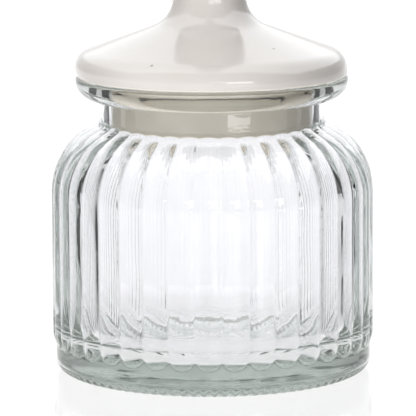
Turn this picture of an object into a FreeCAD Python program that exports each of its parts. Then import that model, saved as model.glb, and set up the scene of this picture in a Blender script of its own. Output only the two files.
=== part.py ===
"""Apothecary jar: ribbed glass jar, glazed ceramic lid with a knob, silicone gasket on the lid's plug.

Frame: millimetres, +Z up, origin at the centre of the bearing ring that the jar stands on.
Jar, gasket and lid are round about +Z. The ribs and the knurl are patterns about the same axis.
"""

import FreeCAD, Part
import math
import os

V = FreeCAD.Vector
ORIGIN = V(0, 0, 0)
Z_AXIS = V(0, 0, 1)
FULL_TURN = 360.0
FRONT = -90.0                   # direction of -Y, which the first rib faces

# --- Glass jar ---
body_diameter = 125.0           # over the rib crests
jar_height = 114.7              # resting plane to the top of the lip
wall = 3.7                      # from the plain base band inwards
floor_thickness = 12.3
push_up = 2.6                   # hollow of the underside at its centre
bearing_ring_width = 5.0
heel_radius = 5.7
shoulder_radius = 27.5          # at the rib crests
shoulder_slope = 27.5           # degrees above level, where the shoulder runs into the neck
neck_diameter = 86.6
neck_wall = 3.8
neck_length = 9.3               # foot of the neck to the underside of the lip
lip_diameter = 105.2
lip_height = 8.5
lip_under_radius = 7.2
lip_top_radius = 1.2
lip_root_fillet = 0.6
mouth_edge_radius = 1.6
inner_floor_fillet = 10.0
inner_neck_fillet = 5.0

# --- Ribs ---
rib_count = 38
rib_height = 1.3                # crest above the plain base band
rib_nose_radius = 10.4          # of the rounded section and of the rounded tip
rib_foot_height = 10.8          # lowest point of the tips
joint_overlap = 1.0             # the ribbed part of the wall runs past the rib ends by this

# --- Knurl round the heel ---
knurl_count = 92
knurl_groove_radius = 1.35
knurl_depth = 0.6
knurl_lean = 55.0               # degrees below level, from the heel's centre to the middle of a groove

# --- Ceramic lid ---
lid_diameter = 105.2
lid_rim_radius = 7.4
lid_rim_height = 2.9            # widest line above the seat
lid_rim_lean = 11.0             # degrees that the rim leans out below its widest line
lid_edge_radius = 1.2
lid_slope = 20.0                # degrees above level
lid_wall = 4.2
stem_diameter = 27.8            # at the root of the knob
stem_taper = 6.6                # degrees from upright
stem_fillet = 11.6
knob_diameter = 38.0
knob_fillet = 6.0
lid_height = 67.0               # seat to the top of the knob
hollow_diameter = 14.0          # blind hollow up the stem
hollow_depth_in_knob = 17.0     # from the top of the hollow to the top of the knob
plug_depth = 22.0               # seat to the end of the plug
plug_wall = 4.0                 # behind the gasket groove
plug_end_radius = 1.2
plug_root_fillet = 0.8

# --- Gasket and fits ---
gasket_thickness = 1.5
gasket_edge_radius = 0.3
fin_reach = 0.45                # a fin stands proud of the sleeve
fin_height = 1.6
fin_inset = 1.2                 # from the end of the sleeve to the fin
groove_depth = 0.9
groove_below_seat = 3.0
plug_land = 1.8                 # plug left below the groove
mouth_clearance = 0.2           # radial, fins to the glass bore
gasket_clearance = 0.06         # radial, gasket to the plug
gasket_end_clearance = 0.1      # each end of the gasket in its groove
seat_gap = 0.1                  # lid seat above the lip

# --- Worked-out sizes ---
crest_r = body_diameter / 2
band_r = crest_r - rib_height
inner_r = band_r - wall
neck_r = neck_diameter / 2
bore_r = neck_r - neck_wall
lip_r = lip_diameter / 2
lip_under_z = jar_height - lip_height
neck_foot_z = lip_under_z - neck_length
ring_outer_r = band_r - heel_radius
ring_inner_r = ring_outer_r - bearing_ring_width
slope = math.radians(shoulder_slope)
crest_corner_z = neck_foot_z - (crest_r - neck_r) * math.tan(slope)

fin_r = bore_r - mouth_clearance
sleeve_r = fin_r - fin_reach
gasket_inner_r = sleeve_r - gasket_thickness
groove_r = gasket_inner_r - gasket_clearance
plug_r = groove_r + groove_depth
plug_inner_r = groove_r - plug_wall
seat_z = jar_height + seat_gap
plug_end_z = seat_z - plug_depth
groove_top_z = seat_z - groove_below_seat
groove_foot_z = plug_end_z + plug_land
gasket_top_z = groove_top_z - gasket_end_clearance
gasket_foot_z = groove_foot_z + gasket_end_clearance
lid_top_z = seat_z + lid_height


def rounded_path(corners):
    """Edges in the XZ plane through (r, z, corner radius) points. The first and last points stay sharp."""
    edges = []
    pen = V(corners[0][0], 0, corners[0][1])
    for i in range(1, len(corners)):
        r, z, radius = corners[i]
        here = V(r, 0, z)
        arc = None
        after = here
        if radius > 0:
            back = (pen - here).normalize()
            ahead = (V(corners[i + 1][0], 0, corners[i + 1][1]) - here).normalize()
            half = back.getAngle(ahead) / 2
            reach = radius / math.tan(half)
            middle = here + (back + ahead).normalize() * (radius / math.sin(half) - radius)
            after = here + ahead * reach
            here = here + back * reach
            arc = Part.Arc(here, middle, after).toShape()
        if pen.distanceToPoint(here) > 1e-6:
            edges.append(Part.LineSegment(pen, here).toShape())
        if arc is not None:
            edges.append(arc)
        pen = after
    return edges


def turned(edges):
    """Solid of revolution about +Z from a chain of edges, closed along the axis where it is open."""
    first = edges[0].Vertexes[0].Point
    last = edges[-1].Vertexes[-1].Point
    chain = list(edges)
    if first.distanceToPoint(last) > 1e-6:
        chain.append(Part.LineSegment(last, first).toShape())
    return Part.Face(Part.Wire(chain)).revolve(ORIGIN, Z_AXIS, FULL_TURN)


def patterned(shape, count):
    """Copies of a shape made on +X, evenly round +Z, the first of them facing the front."""
    copies = []
    for i in range(count):
        copy = shape.copy()
        copy.rotate(ORIGIN, Z_AXIS, FRONT + i * FULL_TURN / count)
        copies.append(copy)
    return copies


def corner_at_depth(depth):
    """Where side and shoulder slope meet, as radius and height, in a shell that deep below the crests."""
    drop = depth * (1 - math.sin(slope)) / math.cos(slope)
    return crest_r - depth, crest_corner_z - drop


def foot_at_depth(depth, radius):
    """Height where the shoulder slope, that deep below the crests, reaches a radius."""
    corner_r, corner_z = corner_at_depth(depth)
    return corner_z + (corner_r - radius) * math.tan(slope)


def inner_corners():
    """Inside of the jar, from the floor's centre up to the mouth."""
    depth = crest_r - inner_r
    side_r, corner_z = corner_at_depth(depth)
    return [
        (0, floor_thickness, 0),
        (side_r, floor_thickness, inner_floor_fillet),
        (side_r, corner_z, shoulder_radius - depth),
        (bore_r, foot_at_depth(depth, bore_r), inner_neck_fillet),
        (bore_r, jar_height, mouth_edge_radius),
    ]


def plain_jar():
    """The jar's wall without ribs or knurl."""
    side_r, corner_z = corner_at_depth(rib_height)
    outside = [
        (0, push_up, 0),
        (ring_inner_r / 2, push_up, 60.0),
        (ring_inner_r, 0, 0),
        (band_r, 0, heel_radius),
        (side_r, corner_z, shoulder_radius - rib_height),
        (neck_r, foot_at_depth(rib_height, neck_r), 0),
        (neck_r, lip_under_z, lip_root_fillet),
        (lip_r, lip_under_z, lip_under_radius),
        (lip_r, jar_height, lip_top_radius),
    ]
    return turned(rounded_path(outside + inner_corners()[::-1]))


def jar_space():
    """The space inside the jar, run out above the mouth."""
    corners = inner_corners()
    corners[-1] = (bore_r, 2 * jar_height, 0)
    corners.append((0, 2 * jar_height, 0))
    return turned(rounded_path(corners))


def rib():
    """One rib: a round section run up the side, over the shoulder and into the neck, with a round foot."""
    inset = rib_nose_radius
    spine_r, corner_z = corner_at_depth(inset)
    tip_reach = math.sqrt(rib_nose_radius ** 2 - (rib_nose_radius - rib_height) ** 2)
    foot_z = rib_foot_height + tip_reach
    end_r = (neck_r + bore_r) / 2 - inset * math.sin(slope)
    spine = rounded_path([
        (spine_r, foot_z, 0),
        (spine_r, corner_z, shoulder_radius - inset),
        (end_r, foot_at_depth(inset, end_r), 0),
    ])
    foot = V(spine_r, 0, foot_z)
    section = Part.Wire(Part.makeCircle(rib_nose_radius, foot, Z_AXIS))
    run = Part.Wire(spine).makePipeShell([section], True, True)
    tip = Part.makeSphere(rib_nose_radius, foot, Z_AXIS, -90, 0, 360)
    return run.fuse(tip)


def wedge(angle, reach, foot_z, top_z):
    """Slice of pie about +Z, centred on +X."""
    half = math.radians(angle / 2)
    left = V(reach, reach * math.tan(half), foot_z)
    right = V(reach, -reach * math.tan(half), foot_z)
    outline = Part.makePolygon([V(0, 0, foot_z), right, left, V(0, 0, foot_z)])
    return Part.Face(outline).extrude(V(0, 0, top_z - foot_z))


def slab(foot_z, top_z):
    """Everything between two heights."""
    return Part.makeCylinder(body_diameter, top_z - foot_z, V(0, 0, foot_z))


def knurl_groove():
    """Cutter for one groove of the knurl, along the heel in a radial plane."""
    lean = math.radians(knurl_lean)
    outward = V(math.cos(lean), 0, -math.sin(lean))
    along = V(math.sin(lean), 0, math.cos(lean))
    heel_centre = V(ring_outer_r, 0, heel_radius)
    middle = heel_centre + outward * (heel_radius + knurl_groove_radius - knurl_depth)
    return Part.makeCylinder(knurl_groove_radius, 2 * heel_radius, middle - along * heel_radius, along)


def glass_jar():
    """Pressed glass jar with ribs from the base band to the foot of the neck and a knurled heel."""
    ribs_from_z = rib_foot_height - joint_overlap
    ribs_to_z = neck_foot_z + joint_overlap
    plain = plain_jar()
    base = plain.common(slab(-ribs_from_z, ribs_from_z))
    base = base.cut(Part.makeCompound(patterned(knurl_groove(), knurl_count)))
    neck = plain.common(slab(ribs_to_z, 2 * jar_height))
    slice_of_wall = wedge(FULL_TURN / rib_count, body_diameter, ribs_from_z, ribs_to_z)
    ribbed_wall = plain.common(slice_of_wall).fuse(rib().cut(jar_space()).common(slice_of_wall))
    ribbed_wall = ribbed_wall.removeSplitter()
    jar = base.multiFuse([neck] + patterned(ribbed_wall, rib_count))
    return jar.removeSplitter().Solids[0]


def tangent_corner(centre_r, centre_z, radius, normal_a, normal_b):
    """Corner of the two lines that touch a circle where it faces the two unit normals."""
    share = radius / (1 + normal_a[0] * normal_b[0] + normal_a[1] * normal_b[1])
    return centre_r + share * (normal_a[0] + normal_b[0]), centre_z + share * (normal_a[1] + normal_b[1])


def lid():
    """Ceramic lid in one piece: dome, stem and ball knob above, plug with a gasket groove below."""
    lean = math.radians(lid_rim_lean)
    rise = math.radians(lid_slope)
    taper = math.tan(math.radians(stem_taper))
    rim_centre_r = lid_diameter / 2 - lid_rim_radius
    rim_centre_z = seat_z + lid_rim_height
    flank = (math.cos(lean), -math.sin(lean))
    above = (math.sin(rise), math.cos(rise))
    rim_r, rim_z = tangent_corner(rim_centre_r, rim_centre_z, lid_rim_radius, flank, above)
    edge_r = rim_r - (rim_z - seat_z) * math.tan(lean)

    knob_r = knob_diameter / 2
    stem_r = stem_diameter / 2
    knob_z = lid_top_z - knob_r
    root_z = knob_z - math.sqrt((knob_r + knob_fillet) ** 2 - (stem_r + knob_fillet) ** 2)
    touch_share = knob_r / (knob_r + knob_fillet)
    touch = V((stem_r + knob_fillet) * touch_share, 0, knob_z + (root_z - knob_z) * touch_share)
    bulge_turn = (math.atan2(root_z - knob_z, stem_r + knob_fillet) + math.pi / 2) / 2
    bulge = V(knob_r * math.cos(bulge_turn), 0, knob_z + knob_r * math.sin(bulge_turn))
    ball = Part.Arc(V(0, 0, lid_top_z), bulge, touch).toShape()
    root_centre = V(stem_r + knob_fillet, 0, root_z)
    root_mid = (touch - root_centre).normalize() + V(-1, 0, 0)
    waist = V(stem_r, 0, root_z)
    root = Part.Arc(touch, root_centre + root_mid.normalize() * knob_fillet, waist).toShape()

    # the tapered stem meets the slope of the dome where the two lines cross
    slope_reach = (root_z - rim_z - (rim_r - stem_r) * math.tan(rise)) / (1 / taper - math.tan(rise))
    dome_r = stem_r + slope_reach
    dome_z = rim_z + (rim_r - dome_r) * math.tan(rise)
    skin = lid_wall / math.cos(rise)
    hollow_r = hollow_diameter / 2
    hollow_top_z = lid_top_z - hollow_depth_in_knob
    rest = rounded_path([
        (stem_r, root_z, 0),
        (dome_r, dome_z, stem_fillet),
        (rim_r, rim_z, lid_rim_radius),
        (edge_r, seat_z, lid_edge_radius),
        (plug_r, seat_z, plug_root_fillet),
        (plug_r, groove_top_z, 0),
        (groove_r, groove_top_z, 0),
        (groove_r, groove_foot_z, 0),
        (plug_r, groove_foot_z, 0),
        (plug_r, plug_end_z, plug_end_radius),
        (plug_inner_r, plug_end_z, plug_end_radius),
        (plug_inner_r, rim_z + (rim_r - plug_inner_r) * math.tan(rise) - skin, lid_wall),
        (hollow_r, rim_z + (rim_r - hollow_r) * math.tan(rise) - skin, lid_wall),
        (hollow_r, hollow_top_z, hollow_r * 0.9),
        (0, hollow_top_z, 0),
    ])
    return turned([ball, root] + rest)


def sealing_gasket():
    """Silicone sleeve round the plug, with one fin near each end that wipes the glass."""
    upper = gasket_top_z - fin_inset - fin_height / 2
    lower = gasket_foot_z + fin_inset + fin_height / 2
    outline = [
        (gasket_inner_r, gasket_foot_z, 0),
        (sleeve_r, gasket_foot_z, gasket_edge_radius),
    ]
    for middle_z in (lower, upper):
        outline += [
            (sleeve_r, middle_z - fin_height / 2, 0),
            (fin_r, middle_z, gasket_edge_radius),
            (sleeve_r, middle_z + fin_height / 2, 0),
        ]
    outline += [
        (sleeve_r, gasket_top_z, gasket_edge_radius),
        (gasket_inner_r, gasket_top_z, 0),
        (gasket_inner_r, gasket_foot_z, 0),
    ]
    return turned(rounded_path(outline))


NODES = {
    "glass_jar": glass_jar,
    "lid": lid,
    "sealing_gasket": sealing_gasket,
}

os.makedirs("parts", exist_ok=True)
for node, make in NODES.items():
    shape = make()
    box = shape.BoundBox
    print(node, shape.ShapeType, len(shape.Solids), "solid(s)", "valid" if shape.isValid() else "NOT VALID",
          "%.1f cm3" % (shape.Volume / 1000), "z %.2f to %.2f" % (box.ZMin, box.ZMax), "faces", len(shape.Faces))
    shape.exportStep("parts/%s.step" % node)
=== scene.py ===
"""Apothecary jar of ribbed pressed glass, with a glazed ceramic lid and a silicone gasket.

Metres, +Z up. The three shown pieces are lathe meshes built here, one for each CAD node.
"""
import math

import bpy
import numpy as np
from mathutils import Matrix, Vector


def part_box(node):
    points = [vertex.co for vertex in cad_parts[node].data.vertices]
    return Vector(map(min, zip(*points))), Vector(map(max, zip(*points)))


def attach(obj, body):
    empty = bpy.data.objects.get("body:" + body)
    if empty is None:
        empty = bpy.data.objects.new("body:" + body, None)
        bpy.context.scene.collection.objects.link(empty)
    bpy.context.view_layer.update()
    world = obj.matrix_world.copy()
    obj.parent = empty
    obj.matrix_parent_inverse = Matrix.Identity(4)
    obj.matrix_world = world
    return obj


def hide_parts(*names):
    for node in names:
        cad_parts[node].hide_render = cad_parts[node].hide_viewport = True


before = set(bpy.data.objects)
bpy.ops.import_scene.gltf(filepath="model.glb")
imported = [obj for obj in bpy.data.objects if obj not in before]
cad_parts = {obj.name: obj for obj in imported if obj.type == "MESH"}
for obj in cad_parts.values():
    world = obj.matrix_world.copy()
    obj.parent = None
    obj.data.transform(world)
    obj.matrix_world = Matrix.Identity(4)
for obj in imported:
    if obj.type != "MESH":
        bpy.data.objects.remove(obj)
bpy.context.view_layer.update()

MM = 0.001
TURN = 2 * math.pi

# --- Places read from the frame ---
jar_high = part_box("glass_jar")[1]
lid_low, lid_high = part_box("lid")
gasket_low, gasket_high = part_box("sealing_gasket")
crest_r = jar_high.x
jar_top = jar_high.z
lid_r = lid_high.x
lid_top = lid_high.z
plug_end = lid_low.z
fin_r = gasket_high.x

# --- Glass, in step with the CAD jar ---
rib_count = 38
rib_height = 1.3 * MM
rib_nose = 10.4 * MM
rib_foot = 10.8 * MM
rib_soften = 0.13 * MM
valley_round = 0.10             # share of half a rib pitch that is rounded off in the valley
inside_follows = 0.22           # share of the rib relief that shows on the inside of the wall
wall = 3.7 * MM
floor_z = 12.3 * MM
inner_floor_fillet = 10 * MM
inner_neck_fillet = 5 * MM
push_up = 2.6 * MM
push_up_bend = 60 * MM
heel = 5.7 * MM
bearing_width = 5.0 * MM
shoulder = 27.5 * MM
slope = math.radians(27.5)
neck_r = 43.3 * MM
neck_wall = 3.8 * MM
neck_length = 9.3 * MM
neck_foot_fillet = 1.5 * MM
lip_r = 52.6 * MM
lip_height = 8.5 * MM
lip_under = 7.2 * MM
lip_top = 1.2 * MM
lip_root = 0.6 * MM
mouth_edge = 1.6 * MM
mouth_depth = 4 * MM            # from the top of the lip to the plain part of the bore
knurl_count = 92
knurl_depth = 0.9 * MM
knurl_lean = math.radians(55)   # below level, on the round of the heel, where the knurls are deepest
knurl_half = math.radians(34)   # from there to where they run out
bead_height = 0.35 * MM         # swelling of the heel that carries the knurls
crease_z = 4.7 * MM             # groove above that bead
crease_depth = 0.45 * MM
crease_half = 0.42 * MM
seam_height = 0.14 * MM         # of the two upright mould seams
seam_half = 0.45 * MM

band_r = crest_r - rib_height
inner_r = band_r - wall
bore_r = neck_r - neck_wall
lip_under_z = jar_top - lip_height
neck_foot_z = lip_under_z - neck_length
ring_outer = band_r - heel
ring_inner = ring_outer - bearing_width
crest_corner_z = neck_foot_z - (crest_r - neck_r) * math.tan(slope)
neck_foot_turn = math.pi / 2 - slope
neck_foot_reach = neck_foot_fillet * math.tan(neck_foot_turn / 2)
straight_neck_top = lip_under_z - 2 * lip_root

# --- Lid and gasket, in step with the CAD ---
seat_gap = 0.1 * MM
seat_z = jar_top + seat_gap
rim_radius = 7.4 * MM
rim_height = 2.9 * MM
rim_lean = math.radians(11)
edge_radius = 1.2 * MM
lid_slope = math.radians(20)
lid_wall = 4.2 * MM
stem_r = 13.9 * MM
stem_taper = math.radians(6.6)
stem_fillet = 11.6 * MM
knob_r = 19.0 * MM
knob_fillet = 6.0 * MM
hollow_r = 7.0 * MM
hollow_top = lid_top - 17.0 * MM
fin_reach = 0.45 * MM
fin_height = 1.6 * MM
fin_inset = 1.2 * MM
gasket_thickness = 1.5 * MM
gasket_gap = 0.06 * MM
groove_depth = 0.9 * MM
groove_gap = 0.1 * MM
plug_wall = 4.0 * MM
plug_end_radius = 1.2 * MM
plug_root = 0.8 * MM
glaze_specks = [(24.2 * MM, -28.5 * MM, 128.4 * MM), (-21.1 * MM, -44.5 * MM, 123.9 * MM)]
lid_off_centre = 0.4 * MM       # the thrown dome sits this far off the plug
lid_lean = math.tan(math.radians(0.6))

sleeve_r = fin_r - fin_reach
gasket_inner = sleeve_r - gasket_thickness
groove_r = gasket_inner - gasket_gap
plug_r = groove_r + groove_depth
plug_inner = groove_r - plug_wall

# --- Unevenness: seed, height, most waves round, most waves along (radians a metre)[, number of waves] ---
outside_waves = (3, 0.035 * MM, 9, 90)
lip_waves = (11, 0.03 * MM, 7, 200)
inside_broad_waves = (5, 0.10 * MM, 14, 70)
inside_fine_waves = (8, 0.03 * MM, 60, 260, 12)
dome_waves = (21, 0.06 * MM, 5, 60)
inside_calm_neck = 12 * MM      # below the neck, over which the inside unevenness grows to full
inside_calm_middle = 30 * MM    # from the middle of the floor, likewise
inside_calm_floor = 8 * MM      # above the floor fillet, over which the rib relief grows to full

# --- Rows and columns of the meshes ---
base_columns = 230
knurl_columns = knurl_count * 16
rib_columns = rib_count * 20
lid_columns = 288
gasket_columns = 256
heel_rows = 32
band_rows = 4
band_step = 0.3 * MM
neck_rows = 6
foot_step = 0.5 * MM            # between rows where the ribs end
foot_zone = 8 * MM              # height of that zone above the rib foot line


# ---------------------------------------------------------------- outlines

def rounded(corners, step=1.0 * MM):
    """Points (r, z) along straight runs and arcs through (r, z, corner radius[, own step]) corners."""
    points = [np.array(corners[0][:2])]

    def run_to(end, gap):
        start = points[-1]
        length = np.linalg.norm(end - start)
        if length < 1e-7:
            return
        count = max(1, int(math.ceil(length / gap)))
        points.extend(start + (end - start) * i / count for i in range(1, count + 1))

    for i in range(1, len(corners)):
        here = np.array(corners[i][:2])
        radius = corners[i][2]
        gap = corners[i][3] if len(corners[i]) > 3 else step
        if radius <= 0:
            run_to(here, gap)
            continue
        back = np.array(corners[i - 1][:2]) - here
        ahead = np.array(corners[i + 1][:2]) - here
        back /= np.linalg.norm(back)
        ahead /= np.linalg.norm(ahead)
        half = math.acos(np.clip(back @ ahead, -1, 1)) / 2
        reach = radius / math.tan(half)
        run_to(here + back * reach, gap)
        points.extend(arc_points(here, back, ahead, half, radius))
    return points


def arc_points(corner, back, ahead, half, radius, turn_step=math.radians(7)):
    """Points after the first on the arc that rounds a corner between two unit directions."""
    middle = back + ahead
    centre = corner + middle / np.linalg.norm(middle) * radius / math.sin(half)
    start = corner + back * radius / math.tan(half) - centre
    end = corner + ahead * radius / math.tan(half) - centre
    sweep = math.pi - 2 * half
    count = max(3, int(math.ceil(sweep / turn_step)))
    shares = [i / count for i in range(1, count + 1)]
    return [centre + (start * math.sin(sweep * (1 - t)) + end * math.sin(sweep * t)) / math.sin(sweep)
            for t in shares]


def normals(points):
    """Unit normals, left of the way a chain of (r, z) points runs, turned outwards for an upward run."""
    run = np.gradient(np.array(points), axis=0)
    run /= np.linalg.norm(run, axis=1)[:, None]
    return np.stack([run[:, 1], -run[:, 0]], axis=1)


def side_corner(depth):
    """Where side and shoulder slope meet for a shell that deep below the rib crests."""
    return crest_r - depth, crest_corner_z - depth * (1 - math.sin(slope)) / math.cos(slope)


def foot_z(depth, radius):
    """Height where the shoulder slope, that deep below the crests, reaches a radius."""
    corner_r, corner_z = side_corner(depth)
    return corner_z + (corner_r - radius) * math.tan(slope)


# ---------------------------------------------------------------- lathe meshes

class Lathe:
    """A closed mesh made ring by ring. Rings may differ in their number of points."""

    def __init__(self):
        self.points = []
        self.faces = []
        self.ring = None
        self.total = 0

    def add(self, radius, height, count, shift=0.0):
        """One ring, moved along X by shift. radius and height are numbers or arrays over the ring."""
        angle = np.arange(count) * TURN / count
        radius = np.broadcast_to(radius, (count,))
        height = np.broadcast_to(height, (count,))
        across = radius * np.cos(angle) + shift
        self.points.append(np.stack([across, radius * np.sin(angle), height], axis=1))
        ring = self.total + np.arange(count)
        self.total += count
        if self.ring is not None:
            self.join(self.ring, ring)
        self.ring = ring

    def pole(self, height, shift=0.0):
        """One point on the axis, moved along X by shift."""
        self.points.append(np.array([[shift, 0.0, height]]))
        ring = np.array([self.total])
        self.total += 1
        if self.ring is not None:
            self.join(self.ring, ring)
        self.ring = ring

    def join(self, lower, upper):
        if len(lower) == 1 or len(upper) == 1:
            self.fan(lower, upper)
        elif len(lower) == len(upper):
            after_lower = np.roll(lower, -1)
            after_upper = np.roll(upper, -1)
            self.faces.extend(np.stack([lower, after_lower, after_upper, upper], axis=1).tolist())
        else:
            self.zip(lower, upper)

    def fan(self, lower, upper):
        if len(lower) == 1:
            for i in range(len(upper)):
                self.faces.append([int(lower[0]), int(upper[(i + 1) % len(upper)]), int(upper[i])])
        else:
            for i in range(len(lower)):
                self.faces.append([int(lower[i]), int(lower[(i + 1) % len(lower)]), int(upper[0])])

    def zip(self, lower, upper):
        """Triangles between two rings with different numbers of points."""
        i = 0
        j = 0
        while i < len(lower) or j < len(upper):
            a = int(lower[i % len(lower)])
            b = int(upper[j % len(upper)])
            if (i + 1) * len(upper) <= (j + 1) * len(lower):
                i += 1
                self.faces.append([a, int(lower[i % len(lower)]), b])
            else:
                j += 1
                self.faces.append([a, int(upper[j % len(upper)]), b])

    def piece(self, name):
        mesh = bpy.data.meshes.new(name)
        mesh.from_pydata(np.concatenate(self.points).tolist(), [], self.faces)
        mesh.shade_smooth()
        mesh.validate()
        made = bpy.data.objects.new(name, mesh)
        bpy.context.scene.collection.objects.link(made)
        return made


def ripple(angle, height, seed, size, turns, per_metre, waves=7):
    """Low, smooth unevenness round and along a surface of revolution, the same each run."""
    rng = np.random.default_rng(seed)
    total = np.zeros_like(angle * 1.0)
    for _ in range(waves):
        around = rng.integers(1, turns)
        along = rng.uniform(-per_metre, per_metre)
        share = rng.uniform(0.4, 1.0)
        start = rng.uniform(0, TURN)
        total = total + share * np.cos(around * angle + along * height + start)
    return size * total / math.sqrt(waves)


# ---------------------------------------------------------------- glass jar

def rib_depth(radius, height, angle):
    """Depth of the ribbed surface below the crest line, and how much a rib falls back by curving round."""
    pitch = TURN / rib_count
    local = (angle + math.pi / 2 + pitch / 2) % pitch - pitch / 2
    share = np.abs(local) / (pitch / 2)
    over = np.maximum(0, share - (1 - valley_round))
    share = share - over ** 2 / (2 * valley_round)
    aside = radius * np.tan(share * pitch / 2)
    tip_reach = math.sqrt(rib_nose ** 2 - (rib_nose - rib_height) ** 2)
    below = np.maximum(0, rib_foot + tip_reach - height)
    inside = np.maximum(rib_nose ** 2 - aside ** 2 - below ** 2, 0)
    depth = rib_nose - np.sqrt(inside)
    sag = radius * (1 / np.cos(share * pitch / 2) - 1)
    blend = np.clip(0.5 + 0.5 * (rib_height - depth) / rib_soften / 2, 0, 1)
    depth = rib_height + (depth - rib_height) * blend - 2 * rib_soften * blend * (1 - blend)
    return depth, sag * blend


def seam(angle):
    """Height of the two upright mould seams, at the front and at the back of the plain band."""
    from_back = np.abs(np.sin((angle - math.pi / 2) / 2))
    from_front = np.abs(np.sin((angle + math.pi / 2) / 2))
    aside = band_r * np.minimum(from_back, from_front) * 2
    return seam_height * np.maximum(0, 1 - (aside / seam_half) ** 2)


def ramp(value, start, length):
    """0 up to start, 1 past start + length, a straight rise between."""
    return min(1, max(0, (value - start) / length))


def underside(lathe):
    """Push-up and bearing ring, from the middle outwards."""
    lathe.pole(push_up)
    hollow = rounded([(0, push_up), (ring_inner / 2, push_up, push_up_bend), (ring_inner, 0, 0)], 6 * MM)
    for r, z in hollow[1:-1]:
        lathe.add(r, z, base_columns)
    lathe.add(ring_inner, 0, base_columns)
    lathe.add(ring_inner + bearing_width / 2, 0, knurl_columns)


def knurled_heel(lathe):
    """Quarter round from the bearing ring to the plain band, with bead, knurls and crease."""
    angle = np.arange(knurl_columns) * TURN / knurl_columns
    bar = 1 - np.abs(np.sin(angle * knurl_count / 2))
    for i in range(heel_rows + 1):
        turn = math.pi / 2 * (1 - i / heel_rows)
        row_z = heel - heel * math.sin(turn)
        across = abs(turn - knurl_lean) / knurl_half
        hollow = knurl_depth * max(0, 1 - across ** 2) * bar
        bead = bead_height * math.sin(math.pi * min(1, row_z / crease_z))
        crease = crease_depth * max(0, 1 - abs(row_z - crease_z) / crease_half)
        reach = heel + bead - hollow - crease
        lathe.add(ring_outer + reach * math.cos(turn), heel - reach * math.sin(turn), knurl_columns)


def ribbed_side(lathe, angle):
    """Plain band, ribs and shoulder, up to the fillet at the foot of the neck."""
    for i in range(band_rows):
        lathe.add(band_r + seam(angle), heel + band_step * (i + 1), rib_columns)
    side_r, corner_z = side_corner(0)
    crest = rounded([
        (side_r, heel + band_step * (band_rows + 1)), (side_r, rib_foot + foot_zone, 0, foot_step),
        (side_r, corner_z, shoulder, 2.2 * MM), (neck_r, neck_foot_z, 0, 1.0 * MM),
    ])
    last_r = neck_r + neck_foot_reach * math.cos(slope) + 0.4 * MM
    for (r, z), (nr, nz) in zip(crest, normals(crest)):
        if r < last_r:
            break
        depth, sag = rib_depth(r, z, angle)
        depth = depth - sag * nr - ripple(angle, z, *outside_waves)
        lathe.add(r - nr * depth, z - nz * depth, rib_columns)


def neck_foot(lathe, angle):
    """Small fillet where each rib runs up against the neck. Gives the height of its top round the neck."""
    depth, sag = rib_depth(neck_r, neck_foot_z, angle)
    depth = depth - sag * math.sin(slope)
    top = neck_foot_z - depth / math.cos(slope) + neck_foot_reach
    for i in range(neck_rows + 1):
        turn = neck_foot_turn * (1 - i / neck_rows)
        r = neck_r + neck_foot_fillet * (1 - math.cos(turn))
        uneven = ripple(angle, neck_foot_z, *outside_waves) * (1 - i / neck_rows)
        lathe.add(r + uneven, top - neck_foot_fillet * math.sin(turn), rib_columns)
    return top


def neck_and_lip(lathe, angle, low):
    for i in range(1, neck_rows + 1):
        lathe.add(neck_r, low + (straight_neck_top - low) * i / neck_rows, rib_columns)
    lip = rounded([
        (neck_r, straight_neck_top), (neck_r, lip_under_z, lip_root), (lip_r, lip_under_z, lip_under),
        (lip_r, jar_top, lip_top), (bore_r, jar_top, mouth_edge), (bore_r, jar_top - mouth_depth, 0),
    ])
    plain_r = bore_r + mouth_edge * 1.01
    for r, z in lip[1:]:
        uneven = 0 if r < plain_r else ripple(angle, z, *lip_waves)
        lathe.add(r + uneven, z, rib_columns)


def inside(lathe, angle):
    """Bore, shoulder, wall and floor, from the mouth down."""
    depth = crest_r - inner_r
    side_r, corner_z = side_corner(depth)
    neck_corner_z = foot_z(depth, bore_r)
    chain = rounded([
        (bore_r, jar_top - mouth_depth), (bore_r, neck_corner_z, inner_neck_fillet, 1.5 * MM),
        (side_r, corner_z, shoulder - depth, 2 * MM), (side_r, floor_z, inner_floor_fillet, 1.0 * MM),
        (0, floor_z, 0, 2.5 * MM),
    ])
    for (r, z), (nr, nz) in zip(chain[1:-1], normals(chain)[1:-1]):
        fade = ramp(neck_corner_z - z, 0, inside_calm_neck) * ramp(r, 0, inside_calm_middle)
        uneven = ripple(angle, z + r, *inside_broad_waves) + ripple(angle, z + r, *inside_fine_waves)
        relief = rib_height / 2 - rib_depth(r, z, angle)[0]
        upright = ramp(z, floor_z + inner_floor_fillet, inside_calm_floor)
        shift = fade * (uneven + inside_follows * upright * relief)
        lathe.add(r + nr * shift, z + nz * shift, rib_columns)
    lathe.pole(floor_z)


def glass_jar():
    lathe = Lathe()
    angle = np.arange(rib_columns) * TURN / rib_columns
    underside(lathe)
    knurled_heel(lathe)
    ribbed_side(lathe, angle)
    top = neck_foot(lathe, angle)
    neck_and_lip(lathe, angle, top)
    inside(lathe, angle)
    return lathe.piece("ribbed_glass_jar")


# ---------------------------------------------------------------- lid and gasket

def touching_corner(centre, radius, normal_a, normal_b):
    """Corner of the two lines that touch a circle where it faces two unit normals."""
    return centre + radius * (normal_a + normal_b) / (1 + normal_a @ normal_b)


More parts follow.
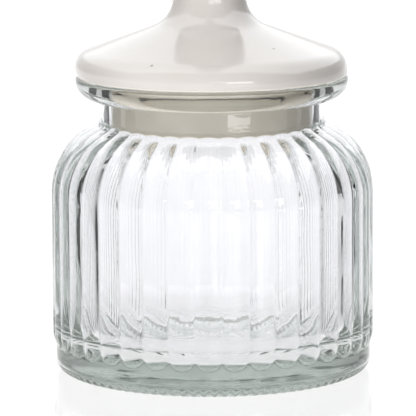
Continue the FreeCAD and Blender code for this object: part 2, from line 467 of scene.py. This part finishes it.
def lid_outline():
    """Closed (r, z) chain, from the top of the knob down the outside and back up the hollow."""
    rim_centre = np.array([lid_r - rim_radius, seat_z + rim_height])
    flank = np.array([math.cos(rim_lean), -math.sin(rim_lean)])
    rise = np.array([math.sin(lid_slope), math.cos(lid_slope)])
    rim_corner_r, rim_corner_z = touching_corner(rim_centre, rim_radius, flank, rise)
    edge_r = rim_corner_r - (rim_corner_z - seat_z) * math.tan(rim_lean)
    knob_z = lid_top - knob_r
    both = knob_r + knob_fillet
    root_z = knob_z - math.sqrt(both ** 2 - (stem_r + knob_fillet) ** 2)
    root_turn = math.atan2(root_z - knob_z, stem_r + knob_fillet)
    ball = [(knob_r * math.cos(t), knob_z + knob_r * math.sin(t))
            for t in np.linspace(math.pi / 2, root_turn, 60)]
    root = [(stem_r + knob_fillet - knob_fillet * math.cos(t), root_z - knob_fillet * math.sin(t))
            for t in np.linspace(root_turn, 0, 12)]
    taper = math.tan(stem_taper)
    gap = root_z - rim_corner_z - (rim_corner_r - stem_r) * math.tan(lid_slope)
    dome_r = stem_r + gap / (1 / taper - math.tan(lid_slope))

    def dome_z(r):
        return rim_corner_z + (rim_corner_r - r) * math.tan(lid_slope)

    under_dome = lid_wall / math.cos(lid_slope)
    groove_top = gasket_high.z + groove_gap
    groove_foot = gasket_low.z - groove_gap
    rest = rounded([
        (stem_r, root_z), (dome_r, dome_z(dome_r), stem_fillet), (rim_corner_r, rim_corner_z, rim_radius),
        (edge_r, seat_z, edge_radius), (plug_r, seat_z, plug_root),
        (plug_r, groove_top, 0), (groove_r, groove_top, 0),
        (groove_r, groove_foot, 0), (plug_r, groove_foot, 0),
        (plug_r, plug_end, plug_end_radius), (plug_inner, plug_end, plug_end_radius),
        (plug_inner, dome_z(plug_inner) - under_dome, lid_wall, 2 * MM),
        (hollow_r, dome_z(hollow_r) - under_dome, lid_wall, 2 * MM),
        (hollow_r, hollow_top, hollow_r * 0.9, 2 * MM), (0, hollow_top, 0),
    ], 0.9 * MM)
    return [tuple(p) for p in ball[:-1] + root[:-1]] + [tuple(p) for p in rest]


def lean(height):
    """Shift along X of the lid at a height: the dome sits off the plug and leans, the plug is true."""
    aside = lid_off_centre * ramp(height, seat_z + 1 * MM, rim_height)
    return -aside - max(0, height - seat_z) * lid_lean


def ceramic_lid():
    lathe = Lathe()
    angle = np.arange(lid_columns) * TURN / lid_columns
    chain = lid_outline()
    plain_r = hollow_r * 1.2        # the hollow of the knob inside this stays true
    lathe.pole(chain[0][1], lean(chain[0][1]))
    for r, z in chain[1:-1]:
        above = ramp(z, seat_z + 3 * MM, 8 * MM) if r > plain_r else 0
        uneven = ripple(angle, z, *dome_waves) * above * ramp(r, 0, 10 * MM)
        lathe.add(r + uneven, z, lid_columns, lean(z))
    lathe.pole(chain[-1][1], lean(chain[-1][1]))
    return lathe.piece("glazed_lid")


def silicone_gasket():
    """Sleeve with two rounded fins, closed on itself."""
    low = gasket_low.z
    high = gasket_high.z
    chain = [(gasket_inner, low), (sleeve_r, low, 0.3 * MM)]
    for middle in (low + fin_inset + fin_height / 2, high - fin_inset - fin_height / 2):
        chain += [(sleeve_r, middle - fin_height / 2, 0.25 * MM), (fin_r, middle, 0.3 * MM),
                  (sleeve_r, middle + fin_height / 2, 0.25 * MM)]
    chain += [(sleeve_r, high, 0.3 * MM), (gasket_inner, high, 0), (gasket_inner, low, 0)]
    lathe = Lathe()
    for r, z in rounded(chain)[:-1]:
        lathe.add(r, z, gasket_columns)
    lathe.join(lathe.ring, np.arange(gasket_columns))
    return lathe.piece("gasket_sleeve")


# ---------------------------------------------------------------- materials

def shader_group(name, inputs, outputs):
    """An empty node group with named sockets, as (group, nodes, links, start node, end node)."""
    group = bpy.data.node_groups.new(name, "ShaderNodeTree")
    for socket, kind, value in inputs:
        made = group.interface.new_socket(name=socket, in_out="INPUT", socket_type="NodeSocket" + kind)
        if value is not None:
            made.default_value = value
    for socket, kind in outputs:
        group.interface.new_socket(name=socket, in_out="OUTPUT", socket_type="NodeSocket" + kind)
    start = group.nodes.new("NodeGroupInput")
    end = group.nodes.new("NodeGroupOutput")
    return group, group.nodes, group.links, start, end


def noise(nodes, links, place, scale, detail=2.0):
    """Noise texture on a place socket. scale is a number or a socket."""
    made = nodes.new("ShaderNodeTexNoise")
    made.inputs["Detail"].default_value = detail
    links.new(place, made.inputs["Vector"])
    if isinstance(scale, (int, float)):
        made.inputs["Scale"].default_value = scale
    else:
        links.new(scale, made.inputs["Scale"])
    return made.outputs["Fac"]


def spread(nodes, links, value, low, high, to_low=0.0, to_high=1.0):
    """Map a value from one range to another. Each end is a number or a socket."""
    made = nodes.new("ShaderNodeMapRange")
    links.new(value, made.inputs["Value"])
    for name, end in (("From Min", low), ("From Max", high), ("To Min", to_low), ("To Max", to_high)):
        if isinstance(end, (int, float)):
            made.inputs[name].default_value = end
        else:
            links.new(end, made.inputs[name])
    return made.outputs["Result"]


def maths(nodes, links, kind, first, second):
    """Maths node on two values, each a number or a socket."""
    made = nodes.new("ShaderNodeMath")
    made.operation = kind
    for socket, value in zip(made.inputs, (first, second)):
        if isinstance(value, (int, float)):
            socket.default_value = value
        else:
            links.new(value, socket)
    return made.outputs[0]


def mottle_group():
    """Cloudy mix of two colours, and a finer cloudy roughness."""
    group, nodes, links, start, end = shader_group("mottle", [
        ("Place", "Vector", None), ("Patch Scale", "Float", 60.0), ("Light Colour", "Color", None),
        ("Dark Colour", "Color", None), ("Smooth", "Float", 0.1), ("Rough", "Float", 0.2),
    ], [("Colour", "Color"), ("Roughness", "Float")])
    broad = noise(nodes, links, start.outputs["Place"], start.outputs["Patch Scale"], 4.0)
    share = spread(nodes, links, broad, 0.32, 0.68)
    mix = nodes.new("ShaderNodeMix")
    mix.data_type = "RGBA"
    links.new(share, mix.inputs["Factor"])
    links.new(start.outputs["Light Colour"], mix.inputs["A"])
    links.new(start.outputs["Dark Colour"], mix.inputs["B"])
    links.new(mix.outputs["Result"], end.inputs["Colour"])
    finer = maths(nodes, links, "MULTIPLY", start.outputs["Patch Scale"], 5.0)
    smear = noise(nodes, links, start.outputs["Place"], finer, 3.0)
    rough = spread(nodes, links, smear, 0.35, 0.65, start.outputs["Smooth"], start.outputs["Rough"])
    links.new(rough, end.inputs["Roughness"])
    return group


def relief_group():
    """Height of a skin that is wavy at one scale and grainy at a finer one."""
    group, nodes, links, start, end = shader_group("relief", [
        ("Place", "Vector", None), ("Wave Scale", "Float", 80.0), ("Grain Scale", "Float", 900.0),
        ("Grain Share", "Float", 0.2),
    ], [("Height", "Float")])
    wave = noise(nodes, links, start.outputs["Place"], start.outputs["Wave Scale"], 1.0)
    grain = noise(nodes, links, start.outputs["Place"], start.outputs["Grain Scale"], 2.0)
    part = maths(nodes, links, "MULTIPLY", grain, start.outputs["Grain Share"])
    links.new(maths(nodes, links, "ADD", wave, part), end.inputs["Height"])
    return group


MOTTLE = mottle_group()
RELIEF = relief_group()


def material(name):
    """A new material, as (material, nodes, links, its Principled shader)."""
    made = bpy.data.materials.new(name)
    made.use_nodes = True
    return made, made.node_tree.nodes, made.node_tree.links, made.node_tree.nodes["Principled BSDF"]


def place_of(nodes):
    """Object coordinates, which are metres in the frame."""
    return nodes.new("ShaderNodeTexCoord").outputs["Object"]


def use_group(nodes, links, group, place, **values):
    """Place a node group on a place socket. Words in the value names are joined by underscores."""
    made = nodes.new("ShaderNodeGroup")
    made.node_tree = group
    links.new(place, made.inputs["Place"])
    for name, value in values.items():
        made.inputs[name.replace("_", " ")].default_value = value
    return made


def skin(nodes, links, shader, height, strength, depth):
    """Bump from a height to a shader's normal."""
    bump = nodes.new("ShaderNodeBump")
    bump.inputs["Strength"].default_value = strength
    bump.inputs["Distance"].default_value = depth
    links.new(height, bump.inputs["Height"])
    links.new(bump.outputs["Normal"], shader.inputs["Normal"])


def clear_glass():
    """Pressed soda-lime glass: fire-polished waves, a faint green in its depth, duller where it stands."""
    made, nodes, links, shader = material("clear_glass")
    place = place_of(nodes)
    look = use_group(nodes, links, MOTTLE, place, Patch_Scale=55.0, Light_Colour=(0.972, 0.968, 0.985, 1),
                     Dark_Colour=(0.950, 0.948, 0.968, 1), Smooth=0.0, Rough=0.02)
    links.new(look.outputs["Colour"], shader.inputs["Base Color"])

    # slight wear up to the crease, where the jar is set down
    parts = nodes.new("ShaderNodeSeparateXYZ")
    links.new(place, parts.inputs[0])
    worn = spread(nodes, links, parts.outputs["Z"], crease_z - 0.2 * MM, crease_z, 0.05, 0.0)
    links.new(maths(nodes, links, "ADD", look.outputs["Roughness"], worn), shader.inputs["Roughness"])
    shader.inputs["IOR"].default_value = 1.51
    shader.inputs["Transmission Weight"].default_value = 1.0
    relief = use_group(nodes, links, RELIEF, place, Wave_Scale=150.0, Grain_Scale=600.0, Grain_Share=0.1)
    skin(nodes, links, shader, relief.outputs["Height"], 0.35, 0.12 * MM)
    tint = nodes.new("ShaderNodeVolumeAbsorption")
    tint.inputs["Color"].default_value = (0.62, 0.675, 0.64, 1)
    tint.inputs["Density"].default_value = 20.0
    links.new(tint.outputs[0], nodes["Material Output"].inputs["Volume"])
    return made


def cream_glaze():
    """Off-white glaze with clouding, pinholes and orange peel. Bare biscuit where the lid is seated."""
    made, nodes, links, shader = material("cream_glaze")
    place = place_of(nodes)
    look = use_group(nodes, links, MOTTLE, place, Patch_Scale=28.0, Light_Colour=(0.700, 0.668, 0.638, 1),
                     Dark_Colour=(0.662, 0.625, 0.590, 1), Smooth=0.10, Rough=0.18)

    # pinholes, where the glaze pulled back from a speck
    speck = nodes.new("ShaderNodeTexVoronoi")
    speck.inputs["Scale"].default_value = 55.0
    links.new(place, speck.inputs["Vector"])
    hole = spread(nodes, links, speck.outputs["Distance"], 0.012, 0.028, 1.0, 0.0)
    pick = nodes.new("ShaderNodeSeparateColor")
    links.new(speck.outputs["Color"], pick.inputs[0])
    few = maths(nodes, links, "GREATER_THAN", pick.outputs[0], 0.78)
    pinhole = maths(nodes, links, "MULTIPLY", hole, few)
    for speck_place in glaze_specks:
        apart = nodes.new("ShaderNodeVectorMath")
        apart.operation = "DISTANCE"
        links.new(place, apart.inputs[0])
        apart.inputs[1].default_value = speck_place
        spot = spread(nodes, links, apart.outputs["Value"], 0.35 * MM, 0.8 * MM, 0.8, 0.0)
        pinhole = maths(nodes, links, "MAXIMUM", pinhole, spot)
    spotted = nodes.new("ShaderNodeMix")
    spotted.data_type = "RGBA"
    links.new(pinhole, spotted.inputs["Factor"])
    links.new(look.outputs["Colour"], spotted.inputs["A"])
    spotted.inputs["B"].default_value = (0.22, 0.20, 0.18, 1)

    # biscuit ring round the seat
    parts = nodes.new("ShaderNodeSeparateXYZ")
    links.new(place, parts.inputs[0])
    biscuit = spread(nodes, links, parts.outputs["Z"], seat_z + 0.3 * MM, seat_z + 0.7 * MM, 1.0, 0.0)
    colour = nodes.new("ShaderNodeMix")
    colour.data_type = "RGBA"
    links.new(biscuit, colour.inputs["Factor"])
    links.new(spotted.outputs["Result"], colour.inputs["A"])
    colour.inputs["B"].default_value = (0.86, 0.82, 0.73, 1)
    links.new(colour.outputs["Result"], shader.inputs["Base Color"])
    dull = maths(nodes, links, "MULTIPLY", biscuit, 0.55)
    links.new(maths(nodes, links, "ADD", look.outputs["Roughness"], dull), shader.inputs["Roughness"])
    links.new(spread(nodes, links, biscuit, 0.0, 1.0, 0.5, 0.0), shader.inputs["Coat Weight"])
    shader.inputs["Coat Roughness"].default_value = 0.03
    relief = use_group(nodes, links, RELIEF, place, Wave_Scale=260.0, Grain_Scale=1500.0, Grain_Share=0.08)
    sunk = maths(nodes, links, "SUBTRACT", relief.outputs["Height"], pinhole)
    skin(nodes, links, shader, sunk, 0.25, 0.05 * MM)
    return made


def beige_silicone():
    """Moulded silicone: satin, slightly cloudy, with a fine grain from the mould."""
    made, nodes, links, shader = material("beige_silicone")
    place = place_of(nodes)
    look = use_group(nodes, links, MOTTLE, place, Patch_Scale=90.0, Light_Colour=(0.455, 0.43, 0.36, 1),
                     Dark_Colour=(0.405, 0.38, 0.31, 1), Smooth=0.32, Rough=0.5)
    links.new(look.outputs["Colour"], shader.inputs["Base Color"])
    links.new(look.outputs["Roughness"], shader.inputs["Roughness"])
    relief = use_group(nodes, links, RELIEF, place, Wave_Scale=400.0, Grain_Scale=4000.0, Grain_Share=0.6)
    skin(nodes, links, shader, relief.outputs["Height"], 0.3, 0.04 * MM)
    return made


# ---------------------------------------------------------------- build

def show(piece, body, node, finish):
    """Give a piece its material, hang it under its body, and hide the CAD node that it stands in for."""
    piece.data.materials.append(finish)
    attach(piece, body)
    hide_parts(node)


jar_piece = glass_jar()
# the glass doesn't dim the light that falls on floor, gasket and lid
jar_piece.visible_shadow = False
jar_piece.visible_diffuse = False
show(jar_piece, "jar", "glass_jar", clear_glass())
show(ceramic_lid(), "lid", "lid", cream_glaze())
show(silicone_gasket(), "gasket", "sealing_gasket", beige_silicone())


# ---------------------------------------------------------------- studio

def plain_floor():
    """Wide, nearly white floor with a weak mirror image and a little glow."""
    half = 6.0
    corners = [(-half, -half, 0), (half, -half, 0), (half, half, 0), (-half, half, 0)]
    mesh = bpy.data.meshes.new("studio_floor")
    mesh.from_pydata(corners, [], [(0, 1, 2, 3)])
    floor = bpy.data.objects.new("studio_floor", mesh)
    bpy.context.scene.collection.objects.link(floor)
    made, nodes, links, shader = material("white_acrylic")
    shader.inputs["Base Color"].default_value = (0.92, 0.92, 0.93, 1)
    shader.inputs["Roughness"].default_value = 0.07
    shader.inputs["Specular IOR Level"].default_value = 0.08
    shader.inputs["Emission Color"].default_value = (1.0, 1.0, 1.0, 1)
    shader.inputs["Emission Strength"].default_value = 0.22
    mesh.materials.append(made)


def studio_world():
    """White room with dim sides, the right one dimmer, and a brighter top. The camera itself sees white."""
    world = bpy.data.worlds.new("studio")
    bpy.context.scene.world = world
    world.use_nodes = True
    nodes = world.node_tree.nodes
    links = world.node_tree.links
    back = nodes["Background"]
    back.inputs["Color"].default_value = (1, 1, 1, 1)
    parts = nodes.new("ShaderNodeSeparateXYZ")
    links.new(nodes.new("ShaderNodeTexCoord").outputs["Generated"], parts.inputs[0])
    x = parts.outputs["X"]
    aside = maths(nodes, links, "MULTIPLY", x, x)
    sides = spread(nodes, links, aside, 0.1, 0.9, 1.0, 0.12)
    tilt = spread(nodes, links, x, -1.0, 1.0, 0.08, -0.08)
    top = spread(nodes, links, parts.outputs["Z"], 0.2, 1.0, 0.0, 0.4)
    room = maths(nodes, links, "ADD", maths(nodes, links, "ADD", sides, tilt), top)
    path = nodes.new("ShaderNodeLightPath")
    strength = maths(nodes, links, "MAXIMUM", room, path.outputs["Is Camera Ray"])
    links.new(strength, back.inputs["Strength"])


def card(name, points, faces, colour, strength, seen_by):
    """Glowing sheet that lights the set only through the kinds of ray that are named."""
    mesh = bpy.data.meshes.new(name)
    mesh.from_pydata(points, [], faces)
    made = bpy.data.materials.new(name)
    made.use_nodes = True
    nodes = made.node_tree.nodes
    nodes.remove(nodes["Principled BSDF"])
    glow = nodes.new("ShaderNodeEmission")
    glow.inputs["Color"].default_value = (*colour, 1)
    glow.inputs["Strength"].default_value = strength
    made.node_tree.links.new(glow.outputs[0], nodes["Material Output"].inputs["Surface"])
    mesh.materials.append(made)
    sheet = bpy.data.objects.new(name, mesh)
    bpy.context.scene.collection.objects.link(sheet)
    sheet.visible_camera = False
    sheet.visible_shadow = False
    sheet.visible_diffuse = "diffuse" in seen_by
    sheet.visible_glossy = "glossy" in seen_by
    sheet.visible_transmission = "transmission" in seen_by
    return sheet


def flat_card(name, centre, across, up, colour, strength, seen_by):
    """Rectangle given by its centre and its two half sides."""
    middle = Vector(centre)
    a = Vector(across)
    b = Vector(up)
    corners = [middle - a - b, middle + a - b, middle + a + b, middle - a + b]
    return card(name, [tuple(corner) for corner in corners], [(0, 1, 2, 3)], colour, strength, seen_by)


def wall_card(name, radius, start, end, low, high, colour, strength, seen_by, steps=24):
    """Part of an upright cylinder round the axis. Angles are degrees from +X."""
    points = []
    faces = []
    for i in range(steps + 1):
        turn = math.radians(start + (end - start) * i / steps)
        points += [(radius * math.cos(turn), radius * math.sin(turn), z) for z in (low, high)]
        if i:
            faces.append((2 * i - 2, 2 * i, 2 * i + 1, 2 * i - 1))
    return card(name, points, faces, colour, strength, seen_by)


def edge_flags(radius, low, high):
    """Dark upright strips at both sides, which only light that has bounced about in the glass can see."""
    strips = [(-11, 4), (11, 26), (35, 50)]
    steps = 6
    points = []
    faces = []
    for start, end in strips + [(180 - end, 180 - start) for start, end in strips]:
        for i in range(steps + 1):
            turn = math.radians(start + (end - start) * i / steps)
            points += [(radius * math.cos(turn), radius * math.sin(turn), z) for z in (low, high)]
            if i:
                last = len(points)
                faces.append((last - 4, last - 2, last - 1, last - 3))
    sheet = card("edge_flags", points, faces, (0.95, 0.95, 1.0), 0.015, {"transmission"})

    # a ray that only crosses the near and the far wall has depth 4, and passes
    tree = sheet.data.materials[0].node_tree
    nodes = tree.nodes
    links = tree.links
    path = nodes.new("ShaderNodeLightPath")
    straight = maths(nodes, links, "COMPARE", path.outputs["Ray Depth"], 4.0)
    bounced = maths(nodes, links, "SUBTRACT", 1.0, straight)
    parts = nodes.new("ShaderNodeSeparateXYZ")
    links.new(place_of(nodes), parts.inputs[0])
    fade = spread(nodes, links, parts.outputs["Z"], 0.0, 0.02, 0.3, 1.0)
    mix = nodes.new("ShaderNodeMixShader")
    links.new(maths(nodes, links, "MULTIPLY", bounced, fade), mix.inputs[0])
    links.new(nodes.new("ShaderNodeBsdfTransparent").outputs[0], mix.inputs[1])
    links.new(nodes["Emission"].outputs[0], mix.inputs[2])
    links.new(mix.outputs[0], nodes["Material Output"].inputs["Surface"])


def fill_light(place, aim, width, height, power):
    """Soft light on matt surfaces alone, with no mirror image of its own."""
    light = bpy.data.lights.new("fill_light", "AREA")
    light.shape = "RECTANGLE"
    light.size = width
    light.size_y = height
    light.energy = power
    lamp = bpy.data.objects.new("fill_light", light)
    lamp.location = place
    lamp.rotation_euler = (Vector(aim) - Vector(place)).to_track_quat("-Z", "Y").to_euler()
    lamp.visible_camera = False
    lamp.visible_glossy = False
    lamp.visible_transmission = False
    bpy.context.scene.collection.objects.link(lamp)


def studio_cards():
    """Sheets for the reflections on glaze and glass, and dim walls for the sides of the lid."""
    white = (1.0, 1.0, 1.0)
    cool = (0.96, 0.98, 1.0)
    taupe = (0.80, 0.74, 0.69)
    gloss = {"glossy"}
    matt = {"diffuse"}

    # ceiling: two bright sheets with a duller gap over the middle, which the dome mirrors
    gap = 0.115
    ceiling = 1.15
    middle = 2.25
    along = (0, 2.75, 0)
    for name, side, half, glow in (("left_overhead", -1, 0.77, 1.55), ("right_overhead", 1, 1.05, 1.85)):
        flat_card(name, (side * (gap + half), middle, ceiling), (half, 0, 0), along, cool, glow, gloss)
    flat_card("ceiling_gap", (0, middle, ceiling), (gap, 0, 0), along, taupe, 0.42, gloss)

    # in front: a dull surround, a softbox, and two windows to the right, for neck and rim
    wall_card("front_surround", 1.9, -165, -15, 0.0, 3.4, taupe, 0.42, gloss)
    flat_card("low_softbox", (0.26, -1.85, 0.39), (0.32, 0, 0), (0, 0, 0.05), white, 4.0, gloss)
    flat_card("neck_window", (0.22, -0.415, 0.0427), (0.083, 0.044, 0), (0, 0, 0.0048), white, 5.5, gloss)
    flat_card("window_softbox", (0.54, -1.15, 0.22), (0.22, 0.115, 0), (0, 0, 0.11), white, 4.5, gloss)

    # at the sides
    wall_card("left_dark_side", 0.33, 145, 215, 0.0, 0.45, taupe, 0.15, matt)
    wall_card("right_dark_side", 0.33, -45, 35, 0.0, 0.45, taupe, 0.05, matt)
    edge_flags(0.17, 0.5 * MM, 0.35)


def camera():
    """Long lens, a little above level and to the right, aimed just left of the middle of the jar."""
    sensor = 36.0
    image_width = 416
    focal_length = 3610.0           # in the same unit as the image width
    elevation = math.radians(9.41)
    azimuth = math.radians(1.7)
    roll = math.radians(-0.33)
    distance = 1.4
    aim = Vector((-1.75 * MM, 0, 62.75 * MM))
    data = bpy.data.cameras.new("camera")
    data.sensor_width = sensor
    data.lens = focal_length * sensor / image_width
    data.clip_start = 0.05
    data.clip_end = 50
    level = math.cos(elevation)
    away = Vector((math.sin(azimuth) * level, -math.cos(azimuth) * level, math.sin(elevation)))
    facing = (-away).to_track_quat("-Z", "Y").to_matrix()
    eye = bpy.data.objects.new("camera", data)
    eye.location = aim + away * distance
    eye.rotation_euler = (facing @ Matrix.Rotation(roll, 3, "Z")).to_euler()
    bpy.context.scene.collection.objects.link(eye)
    bpy.context.scene.camera = eye


plain_floor()
studio_world()
studio_cards()
fill_light(place=(-0.7, -1.35, 0.13), aim=(0, 0, 0.11), width=1.4, height=0.24, power=8.0)
camera()
scene = bpy.context.scene
scene.view_settings.view_transform = "Standard"
scene.cycles.max_bounces = 32
scene.cycles.transmission_bounces = 32
scene.cycles.glossy_bounces = 16
